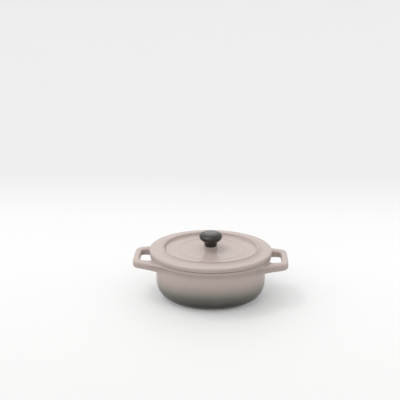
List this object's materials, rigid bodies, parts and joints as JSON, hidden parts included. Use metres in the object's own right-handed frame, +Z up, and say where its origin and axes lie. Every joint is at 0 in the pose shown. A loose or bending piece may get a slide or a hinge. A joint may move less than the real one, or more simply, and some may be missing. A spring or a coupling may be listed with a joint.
{
  "type": "mini cocotte",
  "caption": "Small oval enamelled cast-iron cooking pot with loop handles, a lift-off lid with a raised ring, and a black screwed-on knob.",
  "frame": {"origin": "centre of the flat base, where the pot stands", "axes": "+X from handle to handle (the long way), +Y across the pot, +Z up through the knob"},
  "size_m": [0.1522, 0.0924, 0.0687],
  "materials": {
    "pot_enamel": "gloss",
    "lid_enamel": "gloss",
    "knob_phenolic": "satin",
    "insert_brass": "satin",
    "screw_steel": "satin",
    "washer_steel": "satin"
  },
  "bodies": {
    "pot": {"pot": "pot_enamel"},
    "lid": {"lid": "lid_enamel", "knob": "knob_phenolic", "knob_insert": "insert_brass", "knob_screw": "screw_steel", "screw_washer": "washer_steel"}
  },
  "joints": [
    {"name": "lid_lift", "type": "slide", "parent": "pot", "child": "lid", "axis": [0, 0, 1], "range_m": [0, 0.06]}
  ]
}
